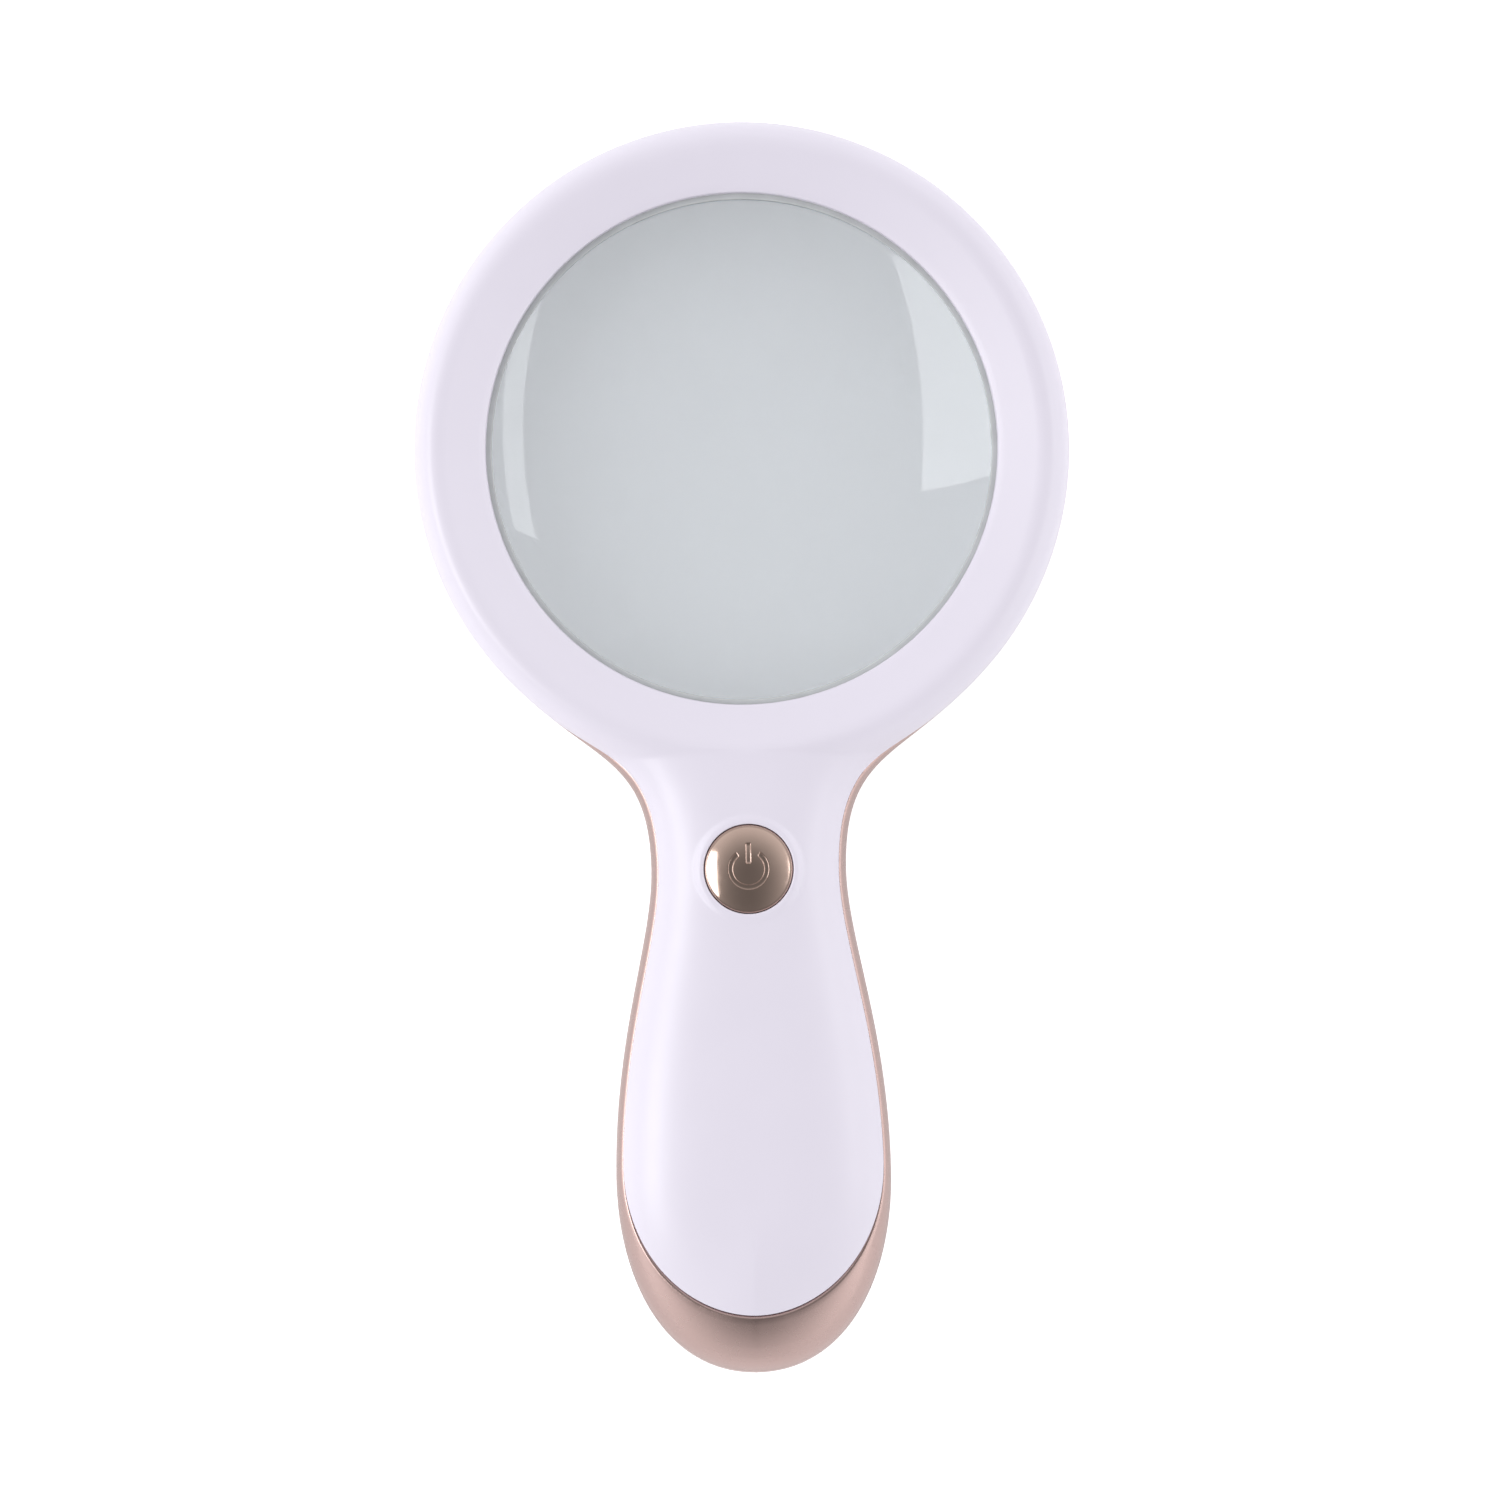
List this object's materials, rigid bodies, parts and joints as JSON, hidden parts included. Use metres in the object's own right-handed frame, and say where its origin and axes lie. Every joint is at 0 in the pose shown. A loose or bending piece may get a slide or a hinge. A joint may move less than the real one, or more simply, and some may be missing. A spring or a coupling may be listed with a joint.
{
  "type": "illuminated hand magnifier",
  "caption": "Hand-held low vision magnifier: round convex lens in a ring with rear LED lighting, on a flattened battery handle with a round push switch.",
  "frame": {"origin": "centre of the overall box in X and Y, at the plane of the flat back that it lies on", "axes": "+Y along the handle towards the top of the lens ring, +Z out of the front face, +X to the right seen from the front"},
  "size_m": [0.1088, 0.2079, 0.0229],
  "materials": {
    "white_shell": "satin lilac-white moulded plastic",
    "rose_coating": "rose-gold metallic coating on plastic",
    "button_coating": "rose-gold metallic coating on plastic",
    "lens_glass": "clear, faintly grey-blue",
    "gasket_rubber": "soft grey",
    "inner_white": "moulded",
    "frosted_plastic": "frosted, translucent",
    "board": "solder-masked board",
    "led_phosphor": "phosphor under clear resin",
    "black_plastic": "moulded",
    "spring_steel": "bright wire",
    "contact_metal": "nickel-plated strip",
    "screw_steel": "zinc-plated",
    "cell_case": "printed sleeve over a metal can",
    "wire_red": "insulated wire",
    "wire_black": "insulated wire"
  },
  "bodies": {
    "body": {"front_shell": "white_shell", "rear_shell": "rose_coating", "lens": "lens_glass", "lens_gasket": "gasket_rubber", "lens_retainer": "inner_white", "light_ring": "frosted_plastic", "led_board": "board", "switch_housing": "black_plastic", "switch_spring": "spring_steel", "switch_board": "board", "battery_tray": "inner_white", "cell_1": "cell_case", "cell_2": "cell_case", "contact_positive": "contact_metal", "contact_negative": "contact_metal", "contact_bridge": "contact_metal", "battery_spring_1": "spring_steel", "battery_spring_2": "spring_steel", "led_wire_red": "wire_red", "led_wire_black": "wire_black", "battery_wire_red": "wire_red", "battery_wire_black": "wire_black", "led_01": "led_phosphor", "led_02": "led_phosphor", "led_03": "led_phosphor", "led_04": "led_phosphor", "led_05": "led_phosphor", "led_06": "led_phosphor", "led_07": "led_phosphor", "led_08": "led_phosphor", "led_09": "led_phosphor", "led_10": "led_phosphor", "led_11": "led_phosphor", "led_12": "led_phosphor", "case_screw_1": "screw_steel", "case_screw_2": "screw_steel", "case_screw_3": "screw_steel", "case_screw_4": "screw_steel"},
    "button": {"power_button": "button_coating"},
    "stem": {"switch_stem": "black_plastic"},
    "door": {"battery_door": "rose_coating"}
  },
  "joints": [
    {"name": "button_press", "type": "slide", "parent": "body", "child": "button", "axis": [0, 0, -1], "range_m": [0, 0.0015], "stiffness_N_per_m": 1200, "springref_m": -0.0005, "deforming": ["switch_spring"]},
    {"name": "switch_stem_travel", "type": "slide", "parent": "body", "child": "stem", "axis": [0, 0, -1], "range_m": [0, 0.0015]},
    {"name": "battery_door_slide", "type": "slide", "parent": "body", "child": "door", "axis": [0, -1, 0], "range_m": [0, 0.058]}
  ],
  "couplings": [
    {"joint": "switch_stem_travel", "follows": "button_press", "ratio": 1}
  ]
}
